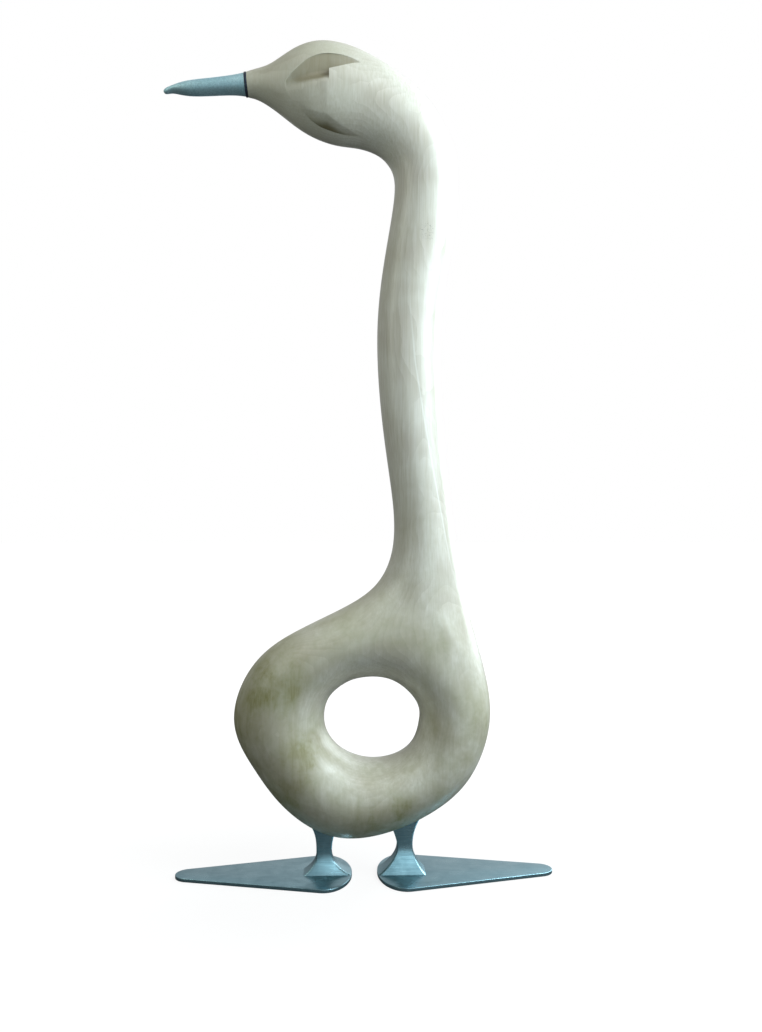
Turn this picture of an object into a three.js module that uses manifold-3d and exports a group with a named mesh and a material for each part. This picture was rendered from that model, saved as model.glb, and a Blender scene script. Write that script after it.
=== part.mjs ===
// A carved wooden goose, nearly as tall as a real one: body, neck and head are one smooth piece of pale wood
// with an oval hole right through the body. A metal beak, two short metal legs and two leaf-shaped metal feet
// complete it. Millimetres, +Z up. The goose looks towards -X, and the plane y = 0 cuts it into equal halves.
import * as THREE from 'three'
import { mergeVertices } from 'three/addons/utils/BufferGeometryUtils.js'
import Module from 'manifold-3d'

const wasm = await Module()
wasm.setup()

// Fit between neighbouring pieces
const clearance = 0.3

// The body is a pebble-shaped ring round an oval hole
const holeX = 12.7
const holeZ = 157.4
const bodyHalfDepth = 46
const bodyTaper = 1.5
// Direction from the middle of the hole in degrees, then how far off the wood begins and ends there
const bodyStations = [
  [20, 46.8, 121],
  [62, 42.3, 118],
  [104, 41.6, 113.3],
  [130, 44.3, 113.9],
  [155, 47.6, 129],
  [180, 47.8, 137.2],
  [202, 46.3, 127.4],
  [225, 43.6, 123.8],
  [250, 41.4, 123.1],
  [275, 41.7, 114.8],
  [302, 44.5, 110.8],
  [328, 47.3, 114.3],
  [354, 47.2, 117.2]
]
// The neck grows out of the ring between the first and the third station, and leaves it thicker there
const rootStation = 1
const rootShoulder = { reach: 112, halfDepth: 42.5 }

// Each section of the neck and the head: x and z of its lower or left edge, x and z of its upper or right edge,
// and its half depth
const neckStations = [
  [16.3, 289.4, 109.3, 262, 40],
  [32.2, 321.4, 99.6, 308.3, 35.5],
  [33.7, 369.5, 91.3, 366.5, 31.5],
  [23.4, 448, 82.9, 448, 29.8],
  [18.2, 550, 80.5, 550, 29.5],
  [29, 638, 93, 633, 30],
  [35.4, 690, 97.3, 700, 30],
  [28.1, 711.8, 91.6, 733.2, 31],
  [16.8, 721.4, 72.4, 769.9, 32],
  [-0.6, 727.1, 37.6, 802, 33.5],
  [-21, 729.6, -2.2, 824, 35],
  [-42.2, 736, -37.5, 830.7, 35.5],
  [-62.3, 747.4, -65, 822.1, 32],
  [-82.3, 762.5, -86.6, 807.9, 24],
  [-99, 772.5, -101.3, 802.7, 16],
  [-110.2, 775.6, -112.2, 799.6, 12]
]

// Two cuts on each side of the head, under the crown and above the jaw. Each has a steep wall along a line and
// a floor that rises away from it. Stations: x and z of the line, width of the floor, its depth at the wall
// and its depth at the far edge, both below the smooth head. The crown cut narrows suddenly where the cheek
// stands out
const headCuts = [
  [
    [-69, 786.5, 6, 1.2, 0.4],
    [-65, 791.9, 11, 2.6, 0.6],
    [-60, 797, 15, 3.8, 0.7],
    [-54, 801.6, 18, 4.8, 0.8],
    [-47, 805, 20, 5.2, 0.9],
    [-39, 807.4, 21, 5.5, 1],
    [-32, 808.4, 21.5, 5.6, 1.1],
    [-30, 808.5, 16.5, 5.6, 2.4],
    [-22, 808.4, 15, 5, 2.2],
    [-12, 806.7, 12.5, 4, 1.6],
    [-2, 802.9, 8.5, 2.8, 1.1],
    [8, 797.5, 3, 1.2, 0.5]
  ],
  [
    [8, 731.2, 3, 1, 0.4],
    [0, 732.4, 7, 2, 0.7],
    [-12.8, 734.7, 11, 3.4, 1],
    [-23, 737, 13.5, 4, 1.1],
    [-32, 739.8, 14, 4, 1],
    [-41, 743.6, 12.5, 3.2, 0.8],
    [-48.5, 748.2, 9, 2.2, 0.6],
    [-55, 753, 4, 1, 0.4]
  ]
]
// A floor bends at its middle, this share of the way down from its far edge to its wall
const cutScoop = 0.7
const cutLift = 6

// How finely the smooth shapes are worked out
const sectionPoints = 8
const carvingSteps = 2
const beakSteps = 1
const fitRounds = 40
const ringSides = 20
const footOutlinePoints = 28
const legSideSteps = 5
const weldDistance = 1e-4

// The beak, from its root to its tip: x, z of the lower edge, x, z of the upper edge, half depth
const beakStations = [
  [-113.1, 776.6, -114.9, 798.6, 11.5],
  [-127, 777.6, -127.8, 795.7, 11],
  [-148, 776.5, -148.5, 792.7, 10.3],
  [-170, 776, -171, 789.6, 8.6],
  [-184.2, 777.4, -185, 786.2, 6.2],
  [-191, 776.9, -191.2, 784.4, 4]
]
const beakTip = [-194.15, 780.2]
const ringThickness = 2.4

// Metal feet: a leaf outline, an oval heel under the leg and a small round tip
const footThickness = 3.5
const footHeelHalfWidth = 49
const footHeelHalfLength = 28
const footTipRadius = 14.5
const footBevel = 0.8
const feet = [
  { name: 'foot_left', heelX: -7.4, tipX: -182.6 },
  { name: 'foot_right', heelX: 17.8, tipX: 194.15 }
]

// Metal legs: flat bars, narrow in the middle, flared on the foot and again where they are let into the wood.
// The flare reaches further towards the middle of the goose than away from it. The powers flare, innerHead and
// outerHead say how sharply the sides curve out below and above the waist
const legHalfThickness = 6
const legWaistHalfWidth = 7.7
const legHeadHalfWidth = 21.7
const legHeadRise = 35
const legInnerReach = 26.6
const legOuterReach = 20.5
const legBevel = 1.2
const legs = [
  { name: 'leg_left', waistX: -35.1, waistZ: 24.5, towardsMiddle: 1, flare: 2.4, innerHead: 2.4, outerHead: 3 },
  { name: 'leg_right', waistX: 45.3, waistZ: 31, towardsMiddle: -1, flare: 2, innerHead: 1.35, outerHead: 2 }
]

const paleWood = new THREE.MeshStandardMaterial({ color: 0xd9dcca, roughness: 0.5, metalness: 0 })
const satinMetal = new THREE.MeshStandardMaterial({ color: 0x7f98a3, roughness: 0.35, metalness: 1 })
const darkMetal = new THREE.MeshStandardMaterial({ color: 0x141c2a, roughness: 0.5, metalness: 0.6 })

// A cage is a closed net of four-sided faces that subdivision turns into a smooth surface
class Cage {
  constructor () {
    this.points = []
    this.faces = []
    this.creases = new Set()
  }

  addLoop (points) {
    const first = this.points.length
    this.points.push(...points)
    return points.map((point, step) => first + step)
  }

  bridge (from, to) {
    from.forEach((index, step) => {
      const next = (step + 1) % from.length
      this.faces.push([index, from[next], to[next], to[step]])
    })
  }

  // A loop of eight is closed by four faces round a middle point
  close (loop, middle, sharp) {
    const [centre] = this.addLoop([middle])
    for (let corner = 0; corner < loop.length; corner += 2) {
      const before = loop[(corner + loop.length - 1) % loop.length]
      const after = loop[(corner + 1) % loop.length]
      this.faces.push([before, loop[corner], after, centre])
    }
    if (sharp) {
      loop.forEach((index, step) => this.creases.add(edgeKey(index, loop[(step + 1) % loop.length])))
    }
  }
}

function edgeKey (a, b) {
  return a < b ? `${a}_${b}` : `${b}_${a}`
}

function average (points) {
  const sum = new THREE.Vector3()
  points.forEach(point => sum.add(point))
  return sum.divideScalar(points.length)
}

// The other ends of the sharp edges at each point
function sharpNeighbours (cage) {
  const ends = cage.points.map(() => [])
  cage.creases.forEach(key => {
    const [a, b] = key.split('_').map(Number)
    ends[a].push(cage.points[b])
    ends[b].push(cage.points[a])
  })
  return ends
}

// What surrounds each point: its number of faces, and the sums of its neighbours and of the far corners
function surroundings (cage) {
  const around = cage.points.map(() => ({ faces: 0, near: new THREE.Vector3(), far: new THREE.Vector3() }))
  cage.faces.forEach(face => {
    face.forEach((index, corner) => {
      around[index].faces += 1
      around[index].near.add(cage.points[face[(corner + 1) % 4]])
      around[index].far.add(cage.points[face[(corner + 2) % 4]])
    })
  })
  return around
}

// Where each point of the cage ends up on the smooth surface
function limitPoints (cage) {
  const around = surroundings(cage)
  const sharp = sharpNeighbours(cage)
  return cage.points.map((point, index) => {
    if (sharp[index].length === 2) {
      return point.clone().multiplyScalar(4).add(sharp[index][0]).add(sharp[index][1]).divideScalar(6)
    }
    const { faces, near, far } = around[index]
    const sum = point.clone().multiplyScalar(faces * faces).addScaledVector(near, 4).add(far)
    return sum.divideScalar(faces * (faces + 5))
  })
}

// Moves the cage until the smooth surface passes through the points that it was drawn with
function fitThroughPoints (cage) {
  const wanted = cage.points.map(point => point.clone())
  for (let round = 0; round < fitRounds; round += 1) {
    const reached = limitPoints(cage)
    cage.points.forEach((point, index) => point.add(wanted[index]).sub(reached[index]))
  }
}

// One step of subdivision by the rules of Catmull and Clark
function subdivide (cage) {
  const finer = new Cage()
  const around = surroundings(cage)
  const sharp = sharpNeighbours(cage)
  cage.points.forEach((point, index) => {
    const moved = point.clone()
    if (sharp[index].length === 2) {
      moved.multiplyScalar(6).add(sharp[index][0]).add(sharp[index][1]).divideScalar(8)
    } else {
      const { faces, near, far } = around[index]
      const weight = 1 / (4 * faces * faces)
      moved.multiplyScalar(1 - 7 / (4 * faces)).addScaledVector(near, 6 * weight).addScaledVector(far, weight)
    }
    finer.points.push(moved)
  })
  const middles = cage.faces.map(face => average(face.map(index => cage.points[index])))
  const edges = new Map()
  cage.faces.forEach((face, faceIndex) => {
    face.forEach((index, corner) => {
      const next = face[(corner + 1) % 4]
      const key = edgeKey(index, next)
      if (!edges.has(key)) edges.set(key, { ends: [index, next], faces: [] })
      edges.get(key).faces.push(faceIndex)
    })
  })
  edges.forEach((edge, key) => {
    const ends = edge.ends.map(index => cage.points[index])
    const isSharp = cage.creases.has(key)
    const sources = isSharp ? ends : [...ends, ...edge.faces.map(face => middles[face])]
    const [middle] = finer.addLoop([average(sources)])
    edge.middle = middle
    if (isSharp) edge.ends.forEach(end => finer.creases.add(edgeKey(end, middle)))
  })
  cage.faces.forEach((face, faceIndex) => {
    const [centre] = finer.addLoop([middles[faceIndex]])
    face.forEach((index, corner) => {
      const after = edges.get(edgeKey(index, face[(corner + 1) % 4])).middle
      const before = edges.get(edgeKey(index, face[(corner + 3) % 4])).middle
      finer.faces.push([index, after, centre, before])
    })
  })
  return finer
}

// The smooth surface of a cage as triangles, each face cut along its shorter diagonal
function smoothGeometry (cage, steps) {
  let fine = cage
  for (let step = 0; step < steps; step += 1) fine = subdivide(fine)
  const points = limitPoints(fine)
  const triangles = []
  fine.faces.forEach(([a, b, c, d]) => {
    const firstIsShorter = points[a].distanceTo(points[c]) < points[b].distanceTo(points[d])
    triangles.push(...(firstIsShorter ? [a, b, c, a, c, d] : [a, b, d, b, c, d]))
  })
  const geometry = new THREE.BufferGeometry()
  geometry.setAttribute('position', new THREE.Float32BufferAttribute(points.flatMap(p => p.toArray()), 3))
  geometry.setIndex(triangles)
  return geometry
}

// Eight points round an oval section, from its outer edge over the front (-Y) to its inner edge and back
function ovalSection (inner, outer, halfDepth) {
  const middle = inner.clone().lerp(outer, 0.5)
  const halfWidth = outer.clone().sub(middle)
  return Array.from({ length: sectionPoints }, (unused, step) => {
    const angle = 2 * Math.PI * step / sectionPoints
    const point = middle.clone().addScaledVector(halfWidth, Math.cos(angle))
    point.y = -halfDepth * Math.sin(angle)
    return point
  })
}

function awayFromHole (degrees, distance) {
  const angle = THREE.MathUtils.degToRad(degrees)
  return new THREE.Vector3(holeX + distance * Math.cos(angle), 0, holeZ + distance * Math.sin(angle))
}

function carvingCage () {
  const cage = new Cage()
  const loops = bodyStations.map(([degrees, inner, outer]) => {
    const halfDepth = bodyHalfDepth - bodyTaper * Math.sin(THREE.MathUtils.degToRad(degrees))
    return cage.addLoop(ovalSection(awayFromHole(degrees, inner), awayFromHole(degrees, outer), halfDepth))
  })
  const [right, root, left] = loops.slice(rootStation - 1, rootStation + 2)
  loops.forEach((loop, station) => {
    const next = loops[(station + 1) % loops.length]
    const underNeck = station === rootStation - 1 || station === rootStation
    cage.bridge(next, loop)
    // The faces on each side of the outer edge, the last and the first of the loop, make way for the neck
    if (underNeck) {
      cage.faces.pop()
      cage.faces.splice(1 - loop.length, 1)
    }
  })
  const shoulder = awayFromHole(bodyStations[rootStation][0], rootShoulder.reach)
  cage.points[root[1]].set(shoulder.x, -rootShoulder.halfDepth, shoulder.z)
  cage.points[root[7]].set(shoulder.x, rootShoulder.halfDepth, shoulder.z)
  let below = [right[0], right[1], root[1], left[1], left[0], left[7], root[7], right[7]]
  neckStations.forEach(([lowX, lowZ, highX, highZ, halfDepth]) => {
    const low = new THREE.Vector3(lowX, 0, lowZ)
    const high = new THREE.Vector3(highX, 0, highZ)
    const section = cage.addLoop(ovalSection(low, high, halfDepth))
    cage.bridge(section, below)
    below = section
  })
  cage.close([...below].reverse(), average(below.map(index => cage.points[index])), true)
  return withoutLoosePoints(cage)
}

function withoutLoosePoints (cage) {
  const used = new Set(cage.faces.flat())
  const tidy = new Cage()
  const place = new Map()
  cage.points.forEach((point, index) => {
    if (used.has(index)) place.set(index, tidy.addLoop([point])[0])
  })
  tidy.faces = cage.faces.map(face => face.map(index => place.get(index)))
  cage.creases.forEach(key => {
    const [a, b] = key.split('_').map(index => place.get(Number(index)))
    tidy.creases.add(edgeKey(a, b))
  })
  return tidy
}

function beakCage () {
  const cage = new Cage()
  const loops = beakStations.map(([lowX, lowZ, highX, highZ, halfDepth]) => {
    const low = new THREE.Vector3(lowX, 0, lowZ)
    const high = new THREE.Vector3(highX, 0, highZ)
    return cage.addLoop(ovalSection(low, high, halfDepth))
  })
  loops.slice(1).forEach((loop, step) => cage.bridge(loop, loops[step]))
  const root = loops[0]
  cage.close(root, average(root.map(index => cage.points[index])), true)
  cage.close([...loops.at(-1)].reverse(), new THREE.Vector3(beakTip[0], 0, beakTip[1]), false)
  return cage
}

// Solids for cutting and joining
function toSolid (geometry) {
  const bare = geometry.clone()
  bare.deleteAttribute('normal')
  bare.deleteAttribute('uv')
  const merged = mergeVertices(bare, weldDistance)
  return new wasm.Manifold(new wasm.Mesh({
    numProp: 3,
    vertProperties: new Float32Array(merged.attributes.position.array),
    triVerts: new Uint32Array(merged.index.array)
  }))
}

function fromSolid (solid) {
  const mesh = solid.getMesh()
  const geometry = new THREE.BufferGeometry()
  geometry.setAttribute('position', new THREE.Float32BufferAttribute(mesh.vertProperties, 3))
  geometry.setIndex(Array.from(mesh.triVerts))
  return geometry
}

function named (name, geometry, material) {
  geometry.computeVertexNormals()
  const mesh = new THREE.Mesh(geometry, material)
  mesh.name = name
  return mesh
}

// How far out the smooth wood reaches beside the middle plane
function sideReach (wood, place) {
  const farOff = new THREE.Vector3(place.x, -10 * bodyHalfDepth, place.y)
  const [hit] = new THREE.Raycaster(farOff, new THREE.Vector3(0, 1, 0)).intersectObject(wood)
  return -hit.point.y
}

// What one cut takes off the front side of the head, as a tube of five-cornered sections along its line
function cutSolid (wood, stations) {
  const line = new THREE.SplineCurve(stations.map(([x, z]) => new THREE.Vector2(x, z)))
  const points = []
  const triangles = []
  const corners = 5
  stations.forEach(([x, z, width, wallDepth, edgeDepth], station) => {
    const wall = new THREE.Vector2(x, z)
    const tangent = line.getTangent(station / (stations.length - 1))
    const inward = new THREE.Vector2(tangent.y, -tangent.x).multiplyScalar(width)
    const middle = wall.clone().addScaledVector(inward, 0.5)
    const edge = wall.clone().add(inward)
    const middleDepth = THREE.MathUtils.lerp(edgeDepth, wallDepth, cutScoop)
    const places = [wall, wall, middle, edge, edge]
    const depths = [-cutLift, wallDepth, middleDepth, edgeDepth, -cutLift]
    places.forEach((place, corner) => {
      points.push(place.x, depths[corner] - sideReach(wood, place), place.y)
    })
    const first = station * corners
    for (let corner = 0; corner < corners && station > 0; corner += 1) {
      const next = (corner + 1) % corners
      triangles.push(first + corner, first + next, first + next - corners)
      triangles.push(first + corner, first + next - corners, first + corner - corners)
    }
  })
  const last = (stations.length - 1) * corners
  for (let corner = 1; corner < corners - 1; corner += 1) {
    triangles.push(0, corner, corner + 1)
    triangles.push(last, last + corner + 1, last + corner)
  }
  const geometry = new THREE.BufferGeometry()
  geometry.setAttribute('position', new THREE.Float32BufferAttribute(points, 3))
  geometry.setIndex(triangles)
  return toSolid(geometry)
}

// One side of a leg, from the foot up into the wood, as distances from its middle line
function legSide (leg, reach, head, grown) {
  const footZ = footThickness + clearance
  const headZ = leg.waistZ + legHeadRise
  const side = []
  for (let step = 0; step < legSideSteps; step += 1) {
    const left = 1 - step / legSideSteps
    const width = legWaistHalfWidth + (reach - legWaistHalfWidth) * left ** leg.flare
    side.push([width + grown, leg.waistZ + (footZ - leg.waistZ) * left])
  }
  for (let step = 0; step <= legSideSteps; step += 1) {
    const risen = step / legSideSteps
    const width = legWaistHalfWidth + (legHeadHalfWidth - legWaistHalfWidth) * risen ** head
    side.push([width + grown, leg.waistZ + (headZ - leg.waistZ) * risen])
  }
  side[0][1] -= grown
  side.at(-1)[1] += grown
  return side
}

function legGeometry (leg, grown) {
  const inner = legSide(leg, legInnerReach, leg.innerHead, grown)
  const outer = legSide(leg, legOuterReach, leg.outerHead, grown)
  const towards = leg.towardsMiddle
  const outline = new THREE.Shape([
    ...inner.map(([width, height]) => new THREE.Vector2(leg.waistX + towards * width, height)),
    ...outer.reverse().map(([width, height]) => new THREE.Vector2(leg.waistX - towards * width, height))
  ])
  const halfThickness = legHalfThickness + grown
  const geometry = new THREE.ExtrudeGeometry(outline, {
    depth: 2 * (halfThickness - legBevel),
    bevelThickness: legBevel,
    bevelSize: legBevel,
    bevelOffset: -legBevel,
    bevelSegments: 1
  })
  geometry.translate(0, 0, legBevel - halfThickness)
  geometry.rotateX(Math.PI / 2)
  return geometry
}

function footGeometry (foot) {
  const towardsTip = Math.sign(foot.tipX - foot.heelX)
  const heelMiddle = foot.heelX + towardsTip * footHeelHalfLength
  const tipMiddle = foot.tipX - towardsTip * footTipRadius
  const outline = Array.from({ length: footOutlinePoints }, (unused, step) => {
    const angle = 2 * Math.PI * step / footOutlinePoints
    const direction = new THREE.Vector2(Math.cos(angle), Math.sin(angle))
    const stretched = new THREE.Vector2(footHeelHalfLength * direction.x, footHeelHalfWidth * direction.y)
    const heel = new THREE.Vector2(footHeelHalfLength * stretched.x, footHeelHalfWidth * stretched.y)
    heel.divideScalar(stretched.length())
    heel.x += heelMiddle
    const tip = direction.clone().multiplyScalar(footTipRadius)
    tip.x += tipMiddle
    return heel.dot(direction) > tip.dot(direction) ? heel : tip
  })
  const geometry = new THREE.ExtrudeGeometry(new THREE.Shape(outline), {
    depth: footThickness - 2 * footBevel,
    bevelThickness: footBevel,
    bevelSize: footBevel,
    bevelOffset: -footBevel,
    bevelSegments: 1
  })
  geometry.translate(0, 0, footBevel)
  return geometry
}

function ringGeometry () {
  const [lowX, lowZ, highX, highZ, halfDepth] = neckStations.at(-1)
  const [beakLowX, beakLowZ, beakHighX, beakHighZ] = beakStations[0]
  const fromHead = new THREE.Vector3((lowX + highX) / 2, 0, (lowZ + highZ) / 2)
  const fromBeak = new THREE.Vector3((beakLowX + beakHighX) / 2, 0, (beakLowZ + beakHighZ) / 2)
  const halfHeight = Math.hypot(highX - lowX, highZ - lowZ) / 2
  const geometry = new THREE.CylinderGeometry(1, 1, ringThickness, ringSides)
  geometry.scale(halfDepth, 1, halfHeight)
  const up = new THREE.Vector3(highX - lowX, 0, highZ - lowZ).normalize()
  const side = new THREE.Vector3(0, 1, 0)
  const along = up.clone().cross(side)
  geometry.applyMatrix4(new THREE.Matrix4().makeBasis(side, along, up))
  const middle = fromHead.lerp(fromBeak, 0.5)
  geometry.translate(middle.x, middle.y, middle.z)
  return geometry
}

const goose = new THREE.Group()

const cage = carvingCage()
fitThroughPoints(cage)
const smoothWood = new THREE.Mesh(smoothGeometry(cage, carvingSteps), paleWood)
let carving = toSolid(smoothWood.geometry)
headCuts.forEach(stations => {
  const cutter = cutSolid(smoothWood, stations)
  carving = carving.subtract(cutter).subtract(cutter.mirror([0, 1, 0]))
})
legs.forEach(leg => { carving = carving.subtract(toSolid(legGeometry(leg, clearance))) })
goose.add(named('goose_carving', fromSolid(carving), paleWood))

const beak = beakCage()
fitThroughPoints(beak)
goose.add(named('beak', smoothGeometry(beak, beakSteps), satinMetal))
goose.add(named('beak_ring', ringGeometry(), darkMetal))
legs.forEach(leg => goose.add(named(leg.name, legGeometry(leg, 0), satinMetal)))
feet.forEach(foot => goose.add(named(foot.name, footGeometry(foot), satinMetal)))

export default goose
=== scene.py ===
# %% [markdown]
# # A carved wooden goose
# The goose is one carving of pale limewood, whitewashed and waxed, on two steel legs and two flat steel feet.
# Its beak is steel too, and a thin dark ring sits between wood and beak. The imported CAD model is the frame:
# every piece below stands for one of its nodes and lies exactly where that node lies.

# %% Load the frame
import math
import bmesh
import bpy
from mathutils import Matrix, Vector
from mathutils.bvhtree import BVHTree


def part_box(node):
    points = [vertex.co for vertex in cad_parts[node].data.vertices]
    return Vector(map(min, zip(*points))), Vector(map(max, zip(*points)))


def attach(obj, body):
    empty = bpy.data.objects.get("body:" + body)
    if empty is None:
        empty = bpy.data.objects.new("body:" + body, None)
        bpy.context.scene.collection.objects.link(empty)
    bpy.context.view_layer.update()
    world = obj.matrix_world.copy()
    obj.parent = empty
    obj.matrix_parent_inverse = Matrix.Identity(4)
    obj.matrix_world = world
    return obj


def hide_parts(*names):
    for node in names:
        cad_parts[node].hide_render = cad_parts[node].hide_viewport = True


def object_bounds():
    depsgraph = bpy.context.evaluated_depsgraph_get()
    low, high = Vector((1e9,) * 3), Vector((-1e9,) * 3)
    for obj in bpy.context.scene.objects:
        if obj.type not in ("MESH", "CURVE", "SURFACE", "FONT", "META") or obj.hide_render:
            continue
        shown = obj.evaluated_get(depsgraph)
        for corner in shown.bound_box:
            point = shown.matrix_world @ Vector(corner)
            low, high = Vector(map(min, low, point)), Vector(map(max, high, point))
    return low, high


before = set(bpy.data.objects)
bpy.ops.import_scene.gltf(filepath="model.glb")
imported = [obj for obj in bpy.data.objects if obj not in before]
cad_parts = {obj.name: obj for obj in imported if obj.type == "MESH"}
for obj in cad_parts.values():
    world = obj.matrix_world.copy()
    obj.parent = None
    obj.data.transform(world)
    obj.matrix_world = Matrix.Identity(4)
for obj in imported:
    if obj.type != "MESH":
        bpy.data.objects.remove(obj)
cad_low, cad_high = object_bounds()
mm = 0.001
print("nodes:", ", ".join(sorted(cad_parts)))

# %% [markdown]
# ## The viewpoint
# The edges of the foot plates give the perspective. The camera stood about a metre away, level and a little
# below half the goose's height, and the goose is turned by less than three degrees. A camera that is moved
# round an unturned goose by the same angle shows the same picture.

# %% Camera
picture_width = 762
picture_height = 1032
sensor_height = 24
focal_pixels = 1000
camera_distance = 1.0
camera_height = 0.3585
camera_turn = math.radians(2.6)
camera_sideways = 0.02165

camera_data = bpy.data.cameras.new("camera")
camera_data.sensor_fit = "VERTICAL"
camera_data.sensor_height = sensor_height
camera_data.sensor_width = sensor_height * picture_width / picture_height
camera_data.lens = sensor_height * focal_pixels / picture_height
camera = bpy.data.objects.new("camera", camera_data)
turned = Matrix.Rotation(-camera_turn, 4, "Z")
camera.location = turned @ Vector((camera_sideways, -camera_distance, camera_height))
camera.rotation_euler = (math.radians(90), 0, -camera_turn)
bpy.context.scene.collection.objects.link(camera)
bpy.context.scene.camera = camera
print("camera at", [round(value, 3) for value in camera.location], "lens", round(camera_data.lens, 2))

# %% [markdown]
# ## From a bmesh to a mesh
# Every piece starts as a bmesh, in which corners and faces are easy to change. Two helpers finish it: one
# turns a bmesh into a mesh, and the other one works out what modifiers make of a mesh.

# %% Helpers for meshes
def mesh_of(shape, name):
    """The mesh of a finished bmesh."""
    mesh = bpy.data.meshes.new(name)
    shape.to_mesh(mesh)
    shape.free()
    return mesh


def with_modifiers(mesh, add_modifiers):
    """The mesh that modifiers make of a mesh."""
    holder = bpy.data.objects.new("holder", mesh)
    bpy.context.scene.collection.objects.link(holder)
    add_modifiers(holder)
    view = bpy.context.evaluated_depsgraph_get()
    result = bpy.data.meshes.new_from_object(holder.evaluated_get(view))
    bpy.data.objects.remove(holder)
    return result


# %% [markdown]
# ## The carving
# A carver draws the side view on the plank and then rounds it. Here the side view is a chain of stations,
# each an oval section that stands across the wood from one drawn edge to the other. Thirteen of them go
# round the hole, and sixteen climb the neck. bmesh adds each oval as a circle of eight corners and bridges
# it to the one before. A Subdivision Surface then turns this coarse net into the smooth wood.

# %% The drawn stations of the carving, in millimetres
hole_middle = Vector((12.7, 0, 157.4))
# Half depth beside the hole, and how much less it is above the hole and more it is below
body_half_depth = 46
body_taper = 1.5
# Direction from the middle of the hole in degrees, then how far off the wood begins and ends there
body_stations = [
    (20, 46.8, 121),
    (62, 42.3, 118),
    (104, 41.6, 113.3),
    (130, 44.3, 113.9),
    (155, 47.6, 129),
    (180, 47.8, 137.2),
    (202, 46.3, 127.4),
    (225, 43.6, 123.8),
    (250, 41.4, 123.1),
    (275, 41.7, 114.8),
    (302, 44.5, 110.8),
    (328, 47.3, 114.3),
    (354, 47.2, 117.2),
]
# The neck grows out of this station. Its opening is so far off the hole's middle, and so wide to each side
root_station = 1
shoulder_reach = 112
shoulder_half_depth = 42.5
# Neck and head: x and z of the lower or left edge, x and z of the upper or right edge, half depth
neck_stations = [
    (16.3, 289.4, 109.3, 262, 40),
    (32.2, 321.4, 99.6, 308.3, 35.5),
    (33.7, 369.5, 91.3, 366.5, 31.5),
    (23.4, 448, 82.9, 448, 29.8),
    (18.2, 550, 80.5, 550, 29.5),
    (29, 638, 93, 633, 30),
    (35.4, 690, 97.3, 700, 30),
    (28.1, 711.8, 91.6, 733.2, 31),
    (16.8, 721.4, 72.4, 769.9, 32),
    (-0.6, 727.1, 37.6, 802, 33.5),
    (-21, 729.6, -2.2, 824, 35),
    (-42.2, 736, -37.5, 830.7, 35.5),
    (-62.3, 747.4, -65, 822.1, 32),
    (-82.3, 762.5, -86.6, 807.9, 24),
    (-99, 772.5, -101.3, 802.7, 16),
    (-110.2, 775.6, -112.2, 799.6, 12),
]
rim_corners = 8


def beside(x, z):
    """A point of the middle plane, from millimetres."""
    return Vector((x, 0, z)) * mm


def from_hole(degrees, distance):
    """A point of the middle plane, at a distance from the middle of the hole."""
    angle = math.radians(degrees)
    return (hole_middle + Vector((math.cos(angle), 0, math.sin(angle))) * distance) * mm


def add_oval(shape, low, high, half_depth):
    """Adds an oval rim that stands across the middle plane, and gives its corners and its edges in order."""
    across = (high - low) / 2
    deep = Vector((0, -half_depth, 0))
    turned = Matrix((across, deep, across.cross(deep).normalized())).transposed().to_4x4()
    place = Matrix.Translation((low + high) / 2) @ turned
    made = bmesh.ops.create_circle(shape, segments=rim_corners, radius=1, matrix=place)
    corners = made["verts"]
    edges = [shape.edges.get((corner, corners[step - 1])) for step, corner in enumerate(corners)]
    return corners, edges


def bridge(shape, edges, next_edges):
    """Joins two rims by a band of faces."""
    bmesh.ops.bridge_loops(shape, edges=edges + next_edges)


# %% The body: a ring of ovals round the hole, with an opening for the neck
carving = bmesh.new()
crease = carving.edges.layers.float.new("crease_edge")
rims = []
for degrees, inner, outer in body_stations:
    half_depth = body_half_depth - body_taper * math.sin(math.radians(degrees))
    rims.append(add_oval(carving, from_hole(degrees, inner), from_hole(degrees, outer), half_depth * mm))
for (_, edges), (_, next_edges) in zip(rims, rims[1:] + rims[:1]):
    bridge(carving, edges, next_edges)

outermost = max(rims[root_station][0], key=lambda corner: (corner.co - hole_middle * mm).xz.length)
for edge in outermost.link_edges:
    corner = edge.other_vert(outermost)
    if corner in rims[root_station][0]:
        shoulder = from_hole(body_stations[root_station][0], shoulder_reach)
        corner.co = shoulder + Vector((0, math.copysign(shoulder_half_depth * mm, corner.co.y), 0))
bmesh.ops.delete(carving, geom=[outermost], context="VERTS")
neck_hole = [edge for edge in carving.edges if edge.is_boundary]
print("the opening for the neck has", len(neck_hole), "edges")

# %% The neck and the head: more ovals, from that opening to the flat end behind the beak
edges = neck_hole
for low_x, low_z, high_x, high_z, half_depth in neck_stations:
    _, next_edges = add_oval(carving, beside(low_x, low_z), beside(high_x, high_z), half_depth * mm)
    bridge(carving, edges, next_edges)
    edges = next_edges
for edge in edges:
    edge[crease] = 1.0
bmesh.ops.holes_fill(carving, edges=edges, sides=rim_corners)
bmesh.ops.recalc_face_normals(carving, faces=carving.faces)
print("the net has", len(carving.faces), "faces")

# %% [markdown]
# A subdivided net shrinks away from its corners, so the drawn edges would come out too thin. The remedy is to
# work out where each corner ends up on the smooth surface, and to push the corner out by what is missing.
# After a few dozen rounds the smooth wood passes through every drawn point.

# %% Fit the net, so that the smooth surface passes through the drawn points
fit_rounds = 40
smooth_levels = 4


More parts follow.
